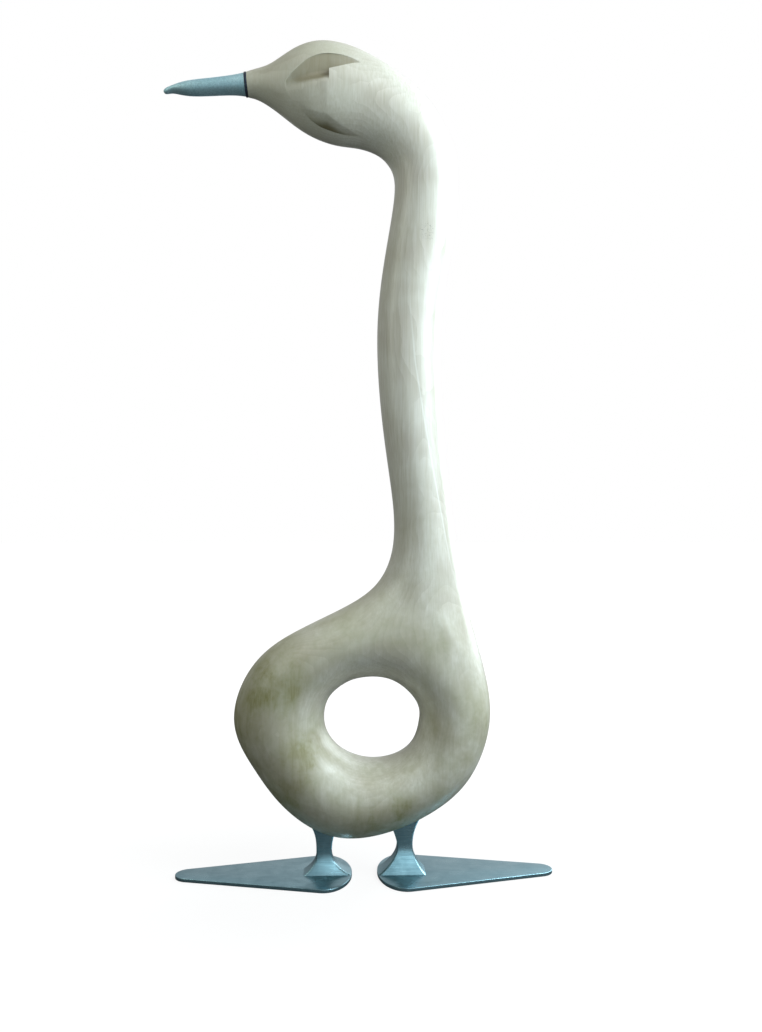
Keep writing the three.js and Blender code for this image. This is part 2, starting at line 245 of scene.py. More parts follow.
def smooth_place(corner, crease):
    """Where the corner ends up after endless subdivision by the rules of Catmull and Clark."""
    sharp = [edge.other_vert(corner).co for edge in corner.link_edges if edge[crease] > 0]
    if len(sharp) == 2:
        return (4 * corner.co + sharp[0] + sharp[1]) / 6
    count = len(corner.link_edges)
    near = sum((edge.other_vert(corner).co for edge in corner.link_edges), Vector())
    far = sum((loop.link_loop_next.link_loop_next.vert.co for loop in corner.link_loops), Vector())
    return (count * count * corner.co + 4 * near + far) / (count * (count + 5))


def fit_through_corners(shape, crease):
    """Moves the corners until the smooth surface passes through the places where they were."""
    wanted = [corner.co.copy() for corner in shape.verts]
    for _ in range(fit_rounds):
        reached = [smooth_place(corner, crease) for corner in shape.verts]
        for corner, goal, place in zip(shape.verts, wanted, reached):
            corner.co += goal - place
    worst = max((smooth_place(corner, crease) - goal).length for corner, goal in zip(shape.verts, wanted))
    print(f"the smooth surface misses its points by {worst / mm:.3f} mm at most")


def smooth_out(holder):
    """Adds the Subdivision Surface that smooths a net."""
    subdivision = holder.modifiers.new("smooth", "SUBSURF")
    subdivision.levels = smooth_levels
    subdivision.render_levels = smooth_levels
    subdivision.use_limit_surface = True


fit_through_corners(carving, crease)
wood = with_modifiers(mesh_of(carving, "carving_net"), smooth_out)
print("smooth wood:", len(wood.polygons), "faces")

# %% [markdown]
# ## The cut that makes the face
# On each side of the head the carver sliced a long facet under the crown, hollowed a shallow cheek in front
# of the flat side of the head, and undercut the cheek above the jaw. All this is one sunk area with a crisp
# edge. A grid is laid on the wood over that area, each of its corners is sunk as deep as the cut is there,
# and the grid is extruded outwards into a solid. Its mirror image serves the other side, and a Boolean
# modifier takes both away.

# %% Levels and depths of the cut, in millimetres
# Stations: x, then the z of the crown's edge, of the upper and the lower end of the cheek, and of the jaw's
# edge, then how deep the facet under the crown, the cheek and the undercut above the jaw are
face_stations = [
    (-73, 779.4, 779.1, 778.6, 778.3, 0.1, 0, 0),
    (-72, 780.9, 779, 775.5, 773, 0.6, 0.3, 0),
    (-70, 783.4, 779.4, 770.5, 768.5, 1.2, 0.5, 0),
    (-66.5, 787.2, 781, 766, 762.6, 2.2, 0.8, 0),
    (-61, 791.8, 783, 762, 757, 3.1, 1.1, 0),
    (-54, 798.1, 785.4, 758, 751.6, 3.9, 1.3, 1.8),
    (-47, 802.5, 787.4, 754, 745.4, 4.6, 1.3, 4),
    (-39, 805.5, 789.2, 752, 740.6, 5.2, 1.2, 6),
    (-33, 806.6, 790, 751, 738.3, 5.3, 0.4, 7),
    (-30, 806.8, 790.4, 749.5, 737.3, 5, 0.1, 7),
    (-22, 806.4, 792.5, 744, 735, 4, 0, 6.2),
    (-14, 805.2, 795, 739.5, 733.5, 2.9, 0, 4.6),
    (-6, 802.4, 797.4, 735.5, 732.6, 1.7, 0, 2.4),
    (-1, 800.2, 798.4, 733, 732.2, 0.8, 0, 0.6),
    (2, 799, 798.8, 732.3, 732, 0.1, 0, 0),
]
# The flat side of the head starts at this station and isn't cut
panel_station = 9
# The facet has this share of its depth at the crown's edge, deepens by this power, and ends over this height
facet_start = 0.14
facet_power = 0.7
facet_fade = 13
jaw_power = 1.5
# The cheek's hollow fades out downwards between these heights
cheek_low = 742
cheek_high = 762
# The rim of the grid stands so far off the wood, so that the cut runs out softly
rim_lift = 0.3
cut_lift = 12
ray_start = 1000
# Grid faces from one station to the next, and in each of the bands from the crown down to the jaw
columns_each = 6
rows_each = 16
bands = 3


def between(stations, position):
    """Station values at a position along the stations, on a smooth curve through them."""
    first = min(int(position), len(stations) - 2)
    part = position - first
    rows = [stations[max(0, min(first + step, len(stations) - 1))] for step in (-1, 0, 1, 2)]
    values = []
    for before, start, end, after in zip(*rows):
        bend = 2 * before - 5 * start + 4 * end - after
        twist = 3 * start - before - 3 * end + after
        values.append(start + 0.5 * part * (end - before + part * (bend + part * twist)))
    return values


def soft_step(low, high, value):
    """From 0 at the low end to 1 at the high end, with a soft start and a soft stop."""
    share = max(0, min(1, (value - low) / (high - low)))
    return share * share * (3 - 2 * share)


def sunk_place(skin, position, row):
    """A corner of the sunk face: rows run from the crown's edge down to the jaw's edge."""
    x, *levels, facet_depth, cheek_depth, jaw_depth = between(face_stations, position)
    band = min(int(row / rows_each), bands - 1)
    part = row / rows_each - band
    z = levels[band] * (1 - part) + levels[band + 1] * part
    down_facet = min(1, (levels[0] - z) / (levels[0] - levels[1]))
    below_facet = soft_step(0, facet_fade, levels[1] - z)
    depth = facet_depth * (facet_start + (1 - facet_start) * down_facet**facet_power) * (1 - below_facet)
    depth += cheek_depth * soft_step(cheek_low, cheek_high, z) * below_facet
    down_jaw = max(0, min(1, (levels[2] - z) / (levels[2] - levels[3])))
    depth += jaw_depth * down_jaw**jaw_power
    hit, _, _, _ = skin.ray_cast(Vector((x, -ray_start, z)) * mm, Vector((0, 1, 0)))
    return hit + Vector((0, (depth - rim_lift) * mm, 0))


# %% Cut the face
smooth_skin = BVHTree.FromPolygons([v.co for v in wood.vertices], [p.vertices[:] for p in wood.polygons])
columns = columns_each * (len(face_stations) - 1)
rows = rows_each * bands
cutter = bmesh.new()
bmesh.ops.create_grid(cutter, x_segments=columns, y_segments=rows, size=1)
# The flat side of the head lies in the middle band, and the grid gets an opening there
panel = []
for face in cutter.faces:
    middle = face.calc_center_median()
    column = (middle.x + 1) / 2 * columns
    row = (1 - middle.y) / 2 * rows
    if column > panel_station * columns_each and rows_each < row < 2 * rows_each:
        panel.append(face)
bmesh.ops.delete(cutter, geom=panel, context="FACES")
for corner in cutter.verts:
    position = (corner.co.x + 1) / 2 * (len(face_stations) - 1)
    corner.co = sunk_place(smooth_skin, position, (1 - corner.co.y) / 2 * rows)
lid = bmesh.ops.extrude_face_region(cutter, geom=cutter.faces[:])["geom"]
lid_corners = [item for item in lid if isinstance(item, bmesh.types.BMVert)]
bmesh.ops.translate(cutter, verts=lid_corners, vec=(0, -cut_lift * mm, 0))
bmesh.ops.mirror(cutter, geom=cutter.verts[:] + cutter.edges[:] + cutter.faces[:], axis="Y", merge_dist=0)
bmesh.ops.recalc_face_normals(cutter, faces=cutter.faces)


def taken_away(mesh, cutter, name):
    """The mesh without what lies inside the cutter, which is a bmesh."""
    tool = bpy.data.objects.new(name, mesh_of(cutter, name))
    bpy.context.scene.collection.objects.link(tool)

    def add_cut(holder):
        boolean = holder.modifiers.new(name, "BOOLEAN")
        boolean.operation = "DIFFERENCE"
        boolean.solver = "MANIFOLD"
        boolean.object = tool

    result = with_modifiers(mesh, add_cut)
    bpy.data.objects.remove(tool)
    print(f"{name}: {len(mesh.polygons)} faces before, {len(result.polygons)} after")
    return result


wood = taken_away(wood, cutter, "face_cut")

# %% [markdown]
# ## The legs
# Each leg is sawn from flat bar: narrow in the middle, flared on the foot, and flared again where it is let
# into the wood. A grid of one column gets its rows spread to that outline, an extrusion gives it its
# thickness, and a bevel rounds its long edges. Below its waist the bar was hammered out to a thicker foot,
# so it leans outwards there and catches the light.

# %% Legs, in millimetres
plate_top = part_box("foot_left")[1].z / mm
leg_half_thickness = 6
leg_waist_half_width = 7.7
leg_head_half_width = 21.7
leg_head_rise = 35
leg_inner_reach = 26.6
leg_outer_reach = 20.5
leg_rows = 60
leg_edge_radius = 1.6
leg_edge_steps = 5
# How far each side leans out from the waist to the plate, as a share of that height, and how late it does so
leg_foot_lean = 0.28
lean_power = 1.55
seat_gap = 0.3
# Waist: x and z. Side: 1 if the middle of the goose lies towards +X. Powers: how sharply the sides curve out
# below the waist, and above it towards the middle of the goose and away from it
leg_forms = {
    "leg_left": {"waist": (-35.1, 24.5), "side": 1, "flare": 2.4, "inner": 2.4, "outer": 3},
    "leg_right": {"waist": (45.3, 31), "side": -1, "flare": 2, "inner": 1.35, "outer": 2},
}


# %% The outline of a leg, and the leg as a bar of even thickness
def leg_half_width(form, z, towards_middle):
    """How far the outline is from the leg's middle at a height, on one side of it."""
    waist_z = form["waist"][1]
    if z < waist_z:
        share = (waist_z - z) / (waist_z - plate_top)
        reach = leg_inner_reach if towards_middle else leg_outer_reach
        return leg_waist_half_width + (reach - leg_waist_half_width) * share ** form["flare"]
    share = (z - waist_z) / leg_head_rise
    power = form["inner"] if towards_middle else form["outer"]
    return leg_waist_half_width + (leg_head_half_width - leg_waist_half_width) * share**power


def leg_shape(form, grown=0):
    """The leg as a bmesh. A grown leg serves to cut its seat in the wood."""
    shape = bmesh.new()
    bmesh.ops.create_grid(shape, x_segments=1, y_segments=leg_rows, size=1)
    waist_x, waist_z = form["waist"]
    height = waist_z + leg_head_rise - plate_top
    for corner in shape.verts:
        side = math.copysign(1, corner.co.x)
        z = plate_top + height * (corner.co.y + 1) / 2
        half_width = leg_half_width(form, z, side == form["side"]) + grown
        corner.co = Vector((waist_x + side * half_width, leg_half_thickness + grown, z)) * mm
    back = bmesh.ops.extrude_face_region(shape, geom=shape.faces[:])["geom"]
    back_corners = [item for item in back if isinstance(item, bmesh.types.BMVert)]
    bmesh.ops.translate(shape, verts=back_corners, vec=(0, -2 * (leg_half_thickness + grown) * mm, 0))
    bmesh.ops.recalc_face_normals(shape, faces=shape.faces)
    return shape


# %% Rounding, for the legs, the feet and the ring
# An edge is a real one where the surface turns by more than this, in radians
clear_turn = 1
# A level edge rises by less than this, in millimetres
level_edge = 0.5


def real_edges(shape):
    return [edge for edge in shape.edges if edge.calc_face_angle(0) > clear_turn]


def round_edges(shape, edges, radius, steps):
    """Rounds edges to a radius in millimetres."""
    bmesh.ops.bevel(
        shape,
        geom=edges,
        offset=radius * mm,
        affect="EDGES",
        segments=steps,
        profile=0.5,
        material=-1,
    )


def round_leg(shape, form):
    """Rounds the long edges, and lets the bar swell out below its waist."""
    long_edges = []
    for edge in real_edges(shape):
        along = (edge.verts[0].co - edge.verts[1].co) / mm
        if abs(along.z) > level_edge:
            long_edges.append(edge)
    round_edges(shape, long_edges, leg_edge_radius, leg_edge_steps)
    waist_z = form["waist"][1]
    drop = waist_z - plate_top
    for corner in shape.verts:
        share = max(0, (waist_z - corner.co.z / mm) / drop)
        corner.co.y += math.copysign(leg_foot_lean * drop * mm * share**lean_power, corner.co.y)


# %% Cut the seats of the legs into the wood
for name, form in leg_forms.items():
    wood = taken_away(wood, leg_shape(form, seat_gap), name + "_seat")

# %% [markdown]
# ## The feet
# Each foot is cut from steel plate: a broad oval heel under the leg runs out to a small round tip. Two flat
# discs and a convex hull round both give the outline, and a bevel breaks the edges.

# %% Feet, in millimetres
plate_thickness = plate_top
heel_half_width = 49
heel_half_length = 28
tip_radius = 14.5
plate_edge_radius = 0.5
edge_steps = 4
heel_sides = 96
tip_sides = 64
# Faces that turn by less than this are one face
flat_turn = math.radians(0.5)
foot_ends = {"foot_left": (-7.4, -182.6), "foot_right": (17.8, 194.15)}


def foot_shape(heel_x, tip_x):
    """The foot plate as a bmesh, from the x of its heel and of its tip."""
    shape = bmesh.new()
    towards_tip = math.copysign(1, tip_x - heel_x)
    heel_middle = heel_x + towards_tip * heel_half_length
    tip_middle = tip_x - towards_tip * tip_radius
    heel = (heel_middle, heel_half_length, heel_half_width, heel_sides)
    tip = (tip_middle, tip_radius, tip_radius, tip_sides)
    for middle, half_length, half_width, sides in (heel, tip):
        for level in (0, plate_thickness):
            place = Matrix.Translation(Vector((middle, 0, level)) * mm)
            place = place @ Matrix.Diagonal((half_length * mm, half_width * mm, 1, 1))
            bmesh.ops.create_circle(shape, segments=sides, radius=1, matrix=place)
    hull = bmesh.ops.convex_hull(shape, input=shape.verts[:])
    unused = set(hull["geom_interior"] + hull["geom_unused"])
    inside = [item for item in unused if isinstance(item, bmesh.types.BMVert)]
    bmesh.ops.delete(shape, geom=inside, context="VERTS")
    loose = [edge for edge in shape.edges if not edge.link_faces]
    bmesh.ops.delete(shape, geom=loose, context="EDGES")
    bmesh.ops.dissolve_limit(shape, angle_limit=flat_turn, verts=shape.verts[:], edges=shape.edges[:])
    round_edges(shape, real_edges(shape), plate_edge_radius, edge_steps)
    bmesh.ops.recalc_face_normals(shape, faces=shape.faces)
    return shape


# %% [markdown]
# ## The beak and its ring
# The beak is a slim steel cone that droops a little to a blunt, hooked tip. It is made in the way of the
# head, from ovals, a fitted net and a Subdivision Surface. The ring is a thin dark washer between beak and
# wood.

# %% Beak, in millimetres
# x and z of the lower edge, x and z of the upper edge, half depth
beak_stations = [
    (-113.1, 776.6, -114.9, 798.6, 11.5),
    (-127, 777.6, -127.8, 795.7, 11),
    (-148, 776.5, -148.5, 792.7, 10.3),
    (-170, 776, -171, 789.6, 8.6),
    (-184.2, 777.9, -184.8, 785.3, 5.8),
    (-191, 777, -191.2, 782.8, 3.5),
]
beak_tip = (-194.15, 779.5)

beak = bmesh.new()
crease = beak.edges.layers.float.new("crease_edge")
beak_rims = []
for low_x, low_z, high_x, high_z, half_depth in beak_stations:
    beak_rims.append(add_oval(beak, beside(low_x, low_z), beside(high_x, high_z), half_depth * mm))
for (_, edges), (_, next_edges) in zip(beak_rims, beak_rims[1:]):
    bridge(beak, edges, next_edges)
root_edges = beak_rims[0][1]
for edge in root_edges:
    edge[crease] = 1.0
bmesh.ops.holes_fill(beak, edges=root_edges, sides=rim_corners)
# A grid fill between two opposite pairs of edges closes the tip round one new corner, which becomes the point
_, edges = beak_rims[-1]
old_corners = set(beak.verts)
bmesh.ops.grid_fill(beak, edges=[edges[1], edges[2], edges[5], edges[6]])
tip_corners = [corner for corner in beak.verts if corner not in old_corners]
for corner in tip_corners:
    corner.co = beside(*beak_tip)
bmesh.ops.recalc_face_normals(beak, faces=beak.faces)
print("the beak's net closes with", len(tip_corners), "corner at its tip and", len(beak.faces), "faces")
fit_through_corners(beak, crease)
beak_mesh = with_modifiers(mesh_of(beak, "beak_net"), smooth_out)

# %% The ring, in millimetres
ring_thickness = 2.4
ring_sides = 64
ring_edge_radius = 0.6
head_end = [beside(*neck_stations[-1][first:first + 2]) for first in (0, 2)]
beak_root = [beside(*beak_stations[0][first:first + 2]) for first in (0, 2)]
ring_up = head_end[1] - head_end[0]
ring_side = Vector((0, neck_stations[-1][4] * mm, 0))
ring_along = ring_up.cross(ring_side).normalized() * mm
ring_turn = Matrix((ring_side, ring_up / 2, ring_along)).transposed().to_4x4()
ring_place = Matrix.Translation(sum(head_end + beak_root, Vector()) / 4) @ ring_turn
ring = bmesh.new()
bmesh.ops.create_cone(
    ring,
    segments=ring_sides,
    radius1=1,
    radius2=1,
    depth=ring_thickness,
    cap_ends=True,
    matrix=ring_place,
)
round_edges(ring, real_edges(ring), ring_edge_radius, edge_steps)
bmesh.ops.recalc_face_normals(ring, faces=ring.faces)
print("the ring has", len(ring.faces), "faces")

# %% [markdown]
# ## Dirt, painted shade and glue line
# Two things on the wood follow its shape and not a pattern. The facet, the deep undercut and a little of the
# cheek of the face are darkened, partly by wax and dust and partly as painted shade where their shadow falls,
# and a glue line between two planks climbs from the shoulder up the neck. Both are stored at the corners of
# the mesh as attributes: how dark a corner is made, and how many millimetres it is off the line.

# %% Dirt, painted shade and glue line
# Depth where the darkening by dirt and painted shade starts and where it is full, and its share: on the
# facet, all over the cut, and below the facet
facet_dirt_and_shade = (0.05, 0.3, 0.5)
cheek_dirt_and_shade = (0.3, 1, 0.1)
jaw_dirt_and_shade = (1.1, 3, 0.75)
# The facet's darkening fades out from so far above its end to so far below it
facet_soft = 3
facet_blur = 8
facet_end = [(station[2], station[0]) for station in face_stations]
lowest_dirt_and_shade = 600 * mm
glue_line = [(96, 285), (87, 320), (73.3, 394), (62.4, 455), (53.5, 510), (47.6, 578), (43, 640)]


def line_place(points, level):
    """The first value of a line through the points, where its second value has reached the level."""
    for (low, low_level), (high, high_level) in zip(points, points[1:]):
        if level <= high_level:
            break
    return low + (high - low) * (level - low_level) / (high_level - low_level)


def dirt_and_shade_at(place, depth):
    """How dark a place of the cut is made, by dirt and by painted shade, from its depth and from its height
    above the facet's end.
    """
    x, _, z = place
    on_facet = soft_step(-facet_blur, facet_soft, z - line_place(facet_end, x))
    dust_and_shade = 0
    for (start, full, share), here in ((facet_dirt_and_shade, on_facet), (cheek_dirt_and_shade, 1), (jaw_dirt_and_shade, 1 - on_facet)):
        dust_and_shade += share * here * soft_step(start, full, depth)
    return dust_and_shade


# How dark each corner is made: partly dirt, partly painted shade in the hollows of the cut
dirt_and_shade = wood.attributes.new("dirt_and_shade", "FLOAT", "POINT")
off_line = wood.attributes.new("off_line", "FLOAT", "POINT")
for corner, dust_and_shade, distance in zip(wood.vertices, dirt_and_shade.data, off_line.data):
    _, _, _, depth = smooth_skin.find_nearest(corner.co)
    if corner.co.z > lowest_dirt_and_shade:
        dust_and_shade.value = dirt_and_shade_at(corner.co / mm, depth / mm)
    distance.value = corner.co.x / mm - line_place(glue_line, corner.co.z / mm)
print("stained corners:", sum(item.value > 0 for item in dirt_and_shade.data))

# %% [markdown]
# ## Colours, nodes and finishes
# A colour is written as the hex value that a paint chart would give, and one function turns it to linear.
# Another adds a shader node with its settings and links. A third one starts a finish, which reads its
# patterns from the place on the object, so that they run on from one face to the next.

# %% Helpers for finishes
def paint(hex_value):
    """The linear colour of an sRGB hex value."""
    channels = [(hex_value >> shift & 255) / 255 for shift in (16, 8, 0)]
    linear = [value / 12.92 if value <= 0.04045 else ((value + 0.055) / 1.055) ** 2.4 for value in channels]
    return (*linear, 1)


def add_node(tree, kind, settings=None, links=None):
    """Adds a shader node. A link's value is an output socket, and any other input value is set as it is."""
    node = tree.nodes.new(kind)
    for name, value in (settings or {}).items():
        setattr(node, name, value)
    for socket, value in (links or {}).items():
        if isinstance(value, bpy.types.NodeSocket):
            tree.links.new(value, node.inputs[socket])
        else:
            node.inputs[socket].default_value = value
    return node


def new_finish(name):
    """Starts a material: gives it, its node tree, its shader and the place on the object."""
    finish = bpy.data.materials.new(name)
    finish.use_nodes = True
    tree = finish.node_tree
    place = add_node(tree, "ShaderNodeTexCoord").outputs["Object"]
    return finish, tree, tree.nodes["Principled BSDF"], place


def per_metre(size):
    """The scale of a pattern whose marks have a size in millimetres."""
    return 1 / (size * mm)


colour_mix = {"data_type": "RGBA"}
bump_strength = 0.6

# %% [markdown]
# ## Whitewashed limewood
# Carvers like lime, which is pale, soft and has hardly any figure. Here it is scraped and sanded, rubbed with
# thinned white paint and waxed to a satin. The paint lies thick on the smooth neck and thin on the body,
# where the wood shows olive through it. Fine fibres run up the goose and soft growth rings follow its swells.

# %% Limewood: fibres, streaks, growth rings and patches
# Sizes in millimetres. The fibres are drawn wider than real ones, which no picture would show
fibre_width = 1.6
fibre_length = 45
streak_width = 7
streak_length = 60
ring_spacing = 3.4
bend_size = 140
bend_reach = 50
# The trunk's middle: x, and how far it lies behind the goose
pith = (10, 200)
patch_size = 70
fleck_size = 8
figure_size = 45

wood_finish, tree, shader, place = new_finish("whitewashed_limewood")
axes = add_node(tree, "ShaderNodeSeparateXYZ", {}, {0: place}).outputs
height = axes["Z"]
upright_patterns = []
for width, length in ((fibre_width, fibre_length), (streak_width, streak_length)):
    stretch = {"Vector": place, "Scale": (1, 1, width / length)}
    stretched = add_node(tree, "ShaderNodeMapping", {}, stretch).outputs[0]
    look = {"Vector": stretched, "Scale": per_metre(width), "Detail": 3, "Roughness": 0.6}
    upright_patterns.append(add_node(tree, "ShaderNodeTexNoise", {}, look).outputs["Fac"])
fibres, streaks = upright_patterns

bend = add_node(tree, "ShaderNodeTexNoise", {}, {"Vector": place, "Scale": per_metre(bend_size), "Detail": 2})
push_look = {0: bend.outputs["Color"], "Scale": bend_reach * mm}
push = add_node(tree, "ShaderNodeVectorMath", {"operation": "SCALE"}, push_look).outputs[0]
bent = add_node(tree, "ShaderNodeVectorMath", {"operation": "ADD"}, {0: place, 1: push}).outputs[0]
shift = {"Vector": bent, "Location": (-pith[0] * mm, -pith[1] * mm, 0)}
round_pith = add_node(tree, "ShaderNodeMapping", {}, shift).outputs[0]
# A wave texture repeats every tau / 20 of its scale
ring_scale = math.tau / 20 * per_metre(ring_spacing)
ring_look = {"Vector": round_pith, "Scale": ring_scale, "Distortion": 4, "Detail": 2, "Detail Scale": 0.5}
ring_kind = {"wave_type": "RINGS", "rings_direction": "Z", "wave_profile": "SAW"}
rings = add_node(tree, "ShaderNodeTexWave", ring_kind, ring_look).outputs["Fac"]

look = {"Scale": per_metre(patch_size), "Detail": 4, "Roughness": 0.55, "Distortion": 0.4}
patches = add_node(tree, "ShaderNodeTexNoise", {}, {"Vector": place, **look}).outputs["Fac"]
look = {"Scale": per_metre(fleck_size), "Detail": 3, "Roughness": 0.6, "Distortion": 0.6}
flecks = add_node(tree, "ShaderNodeTexNoise", {}, {"Vector": place, **look}).outputs["Fac"]
look = {"Vector": bent, "Scale": per_metre(figure_size), "Detail": 2}
figure = add_node(tree, "ShaderNodeTexNoise", {}, look).outputs["Fac"]
print("fibres", fibre_width, "mm, rings", ring_spacing, "mm, patches", patch_size, "mm")

# %% [markdown]
# How much paint is worn off rises from the neck down to the belly, and towards the beak. Round the hole less
# of
# it is taken off, which is painted sheen: it makes the wall of the hole paler, as the wax's reflection would.
# The tail side is cleaner than the breast. The crown is a little worn too. Patches, upright streaks and small
# flecks are added to it, so the wear looks rubbed and brushed.

# %% Limewood: how much paint is worn off
# Heights, places and reaches in metres
clean_height = 0.40
worn_height = 0.12
beak_root_place = (-0.11, 0, 0.785)
face_reach = 0.15
face_core = 0.03
crown_place = (-0.045, 0, 0.835)
crown_reach = 0.065
crown_core = 0.02
# Painted sheen round the hole: full up to this distance from the hole's axis, gone at the next
hole_sheen_full = 0.045
hole_sheen_end = 0.085
breast_x = 0.02
tail_x = 0.12

side_view = add_node(tree, "ShaderNodeMapping", {}, {"Vector": place, "Scale": (1, 0, 1)}).outputs[0]
distances = []
for start, end in ((place, beak_root_place), (place, crown_place), (side_view, tuple(hole_middle * mm))):
    apart = add_node(tree, "ShaderNodeVectorMath", {"operation": "DISTANCE"}, {0: start, 1: end})
    distances.append(apart.outputs["Value"])
from_beak, from_crown, from_hole = distances

# A value, the two ends of its range, and what it adds to the sum at either end
wear_and_sheen_parts = (
    (height, clean_height, worn_height, 0.06, 0.8),
    (from_beak, face_reach, face_core, 0, 0.26),
    (from_crown, crown_reach, crown_core, 0, 0.3),
    # Painted sheen: less wear round the hole makes its wall paler, as the wax's reflection would
    (from_hole, hole_sheen_full, hole_sheen_end, -0.5, 0),
    (axes["X"], breast_x, tail_x, 0, -0.24),
)
uneven_parts = (
    (patches, 0.32, 0.68, -0.42, 0.46),
    (streaks, 0.3, 0.7, -0.12, 0.12),
    (flecks, 0.3, 0.7, -0.11, 0.11),
)
sums = []
for parts in (wear_and_sheen_parts, uneven_parts):
    total = 0
    for value, start, end, at_start, at_end in parts:
        look = {"Value": value, "From Min": start, "From Max": end, "To Min": at_start, "To Max": at_end}
        added = add_node(tree, "ShaderNodeMapRange", {}, look).outputs[0]
        total = add_node(tree, "ShaderNodeMath", {"operation": "ADD"}, {0: total, 1: added}).outputs[0]
    sums.append(total)
wear, uneven = sums
look = {"Value": height, "From Min": clean_height, "From Max": worn_height, "To Min": 0.25, "To Max": 1}
strength = add_node(tree, "ShaderNodeMapRange", {}, look).outputs[0]
product_and_sum = {"operation": "MULTIPLY_ADD", "use_clamp": True}
# The wear, with the painted sheen round the hole in it
wear_and_sheen = add_node(tree, "ShaderNodeMath", product_and_sum, {0: uneven, 1: strength, 2: wear}).outputs[0]
print("wear rises from", clean_height, "m down to", worn_height, "m")

# %% Limewood: colour
painted = paint(0xDCDAD0)
bare = paint(0x878557)
rosy = paint(0xC4B8AE)
fibre_shade = paint(0xB4AE94)
ring_shade = paint(0x8F8A70)
# The colour of the cut's darkening, which is partly dirt and partly painted shade
dirt_and_shade_colour = paint(0x6A603C)

colour = add_node(tree, "ShaderNodeMix", colour_mix, {0: wear_and_sheen, 6: painted, 7: bare}).outputs[2]
# A pattern, the range in which it comes through, its greatest share, and its colour
tints = ((figure, 0.45, 0.7, 0.3, rosy), (fibres, 0.35, 0.75, 0.5, fibre_shade))
for pattern, start, end, most, shade in tints:
    look = {"Value": pattern, "From Min": start, "From Max": end, "To Max": most}
    share = add_node(tree, "ShaderNodeMapRange", {}, look).outputs[0]
    colour = add_node(tree, "ShaderNodeMix", colour_mix, {0: share, 6: colour, 7: shade}).outputs[2]

# The growth rings show only where the figure comes through the paint
look = {"Value": figure, "From Min": 0.42, "From Max": 0.62, "To Min": 0.02, "To Max": 0.22}
share = add_node(tree, "ShaderNodeMapRange", {}, look).outputs[0]
share = add_node(tree, "ShaderNodeMath", {"operation": "MULTIPLY"}, {0: share, 1: rings}).outputs[0]
colour = add_node(tree, "ShaderNodeMix", colour_mix, {0: share, 6: colour, 7: ring_shade}).outputs[2]
# Dirt and painted shade: the cut of the face gets darker with its depth, as dust and wax and as painted
# shadow in its hollows
dust_and_shade = add_node(tree, "ShaderNodeAttribute", {"attribute_name": "dirt_and_shade"}).outputs["Fac"]
colour = add_node(tree, "ShaderNodeMix", colour_mix, {0: dust_and_shade, 6: colour, 7: dirt_and_shade_colour}).outputs[2]
print("bare wood", [round(value, 3) for value in bare[:3]])

# %% [markdown]
# The glue line is a hair of lighter filler. Small drying cracks sit high on the neck, and one pin hole is in
# the side of the head: each is a thin band of a noise pattern that shows only close to its place.

# %% Limewood: glue line and small cracks
# Heights between which the line shows, in metres, and over how much it fades
glue_low = 0.27
glue_high = 0.6
glue_fade = 0.08
# Distance from the line at which its share is full and at which it is gone, in millimetres
glue_core = 0.3
glue_edge = 1.1
glue_share = 0.42
glue = paint(0xEFF1EC)
crack = paint(0x4C4839)
crack_pattern = 5
# How far off its middle value the noise still makes a crack, fully and at all
crack_core = 0.003
crack_edge = 0.018
crack_share = 0.85
# Middle and reach, in metres
crack_places = [((0.066, -0.030, 0.636), 0.01), ((0.0076, -0.034, 0.776), 0.003)]

beside_line = add_node(tree, "ShaderNodeAttribute", {"attribute_name": "off_line"}).outputs["Fac"]
away = add_node(tree, "ShaderNodeMath", {"operation": "ABSOLUTE"}, {0: beside_line}).outputs[0]
look = {"Value": away, "From Min": glue_core, "From Max": glue_edge, "To Min": glue_share, "To Max": 0}
share = add_node(tree, "ShaderNodeMapRange", {}, look).outputs[0]
for full, gone in ((glue_low + glue_fade, glue_low), (glue_high - glue_fade, glue_high)):
    look = {"Value": height, "From Min": gone, "From Max": full}
    fade = add_node(tree, "ShaderNodeMapRange", {}, look).outputs[0]
    share = add_node(tree, "ShaderNodeMath", {"operation": "MULTIPLY"}, {0: share, 1: fade}).outputs[0]
colour = add_node(tree, "ShaderNodeMix", colour_mix, {0: share, 6: colour, 7: glue}).outputs[2]

look = {"Vector": place, "Scale": per_metre(crack_pattern), "Detail": 1, "Distortion": 1.5}
wriggle = add_node(tree, "ShaderNodeTexNoise", {}, look).outputs["Fac"]
middle = add_node(tree, "ShaderNodeMath", {"operation": "SUBTRACT"}, {0: wriggle, 1: 0.5}).outputs[0]
middle = add_node(tree, "ShaderNodeMath", {"operation": "ABSOLUTE"}, {0: middle}).outputs[0]
look = {"Value": middle, "From Min": crack_core, "From Max": crack_edge, "To Min": crack_share, "To Max": 0}
thin = add_node(tree, "ShaderNodeMapRange", {}, look).outputs[0]
for spot, reach in crack_places:
    apart = add_node(tree, "ShaderNodeVectorMath", {"operation": "DISTANCE"}, {0: place, 1: spot})
    look = {"Value": apart.outputs["Value"], "From Min": reach, "From Max": reach / 3}
    near = add_node(tree, "ShaderNodeMapRange", {}, look).outputs[0]
    share = add_node(tree, "ShaderNodeMath", {"operation": "MULTIPLY"}, {0: thin, 1: near}).outputs[0]
    colour = add_node(tree, "ShaderNodeMix", colour_mix, {0: share, 6: colour, 7: crack}).outputs[2]
tree.links.new(colour, shader.inputs["Base Color"])
print("cracks and pin holes:", len(crack_places))

# %% [markdown]
# Waxed paint is smoother than bare wood, so the roughness follows the wear. The fibres stand up by a few
# hundredths of a millimetre and the scraper left shallow flats, which the bump carries.

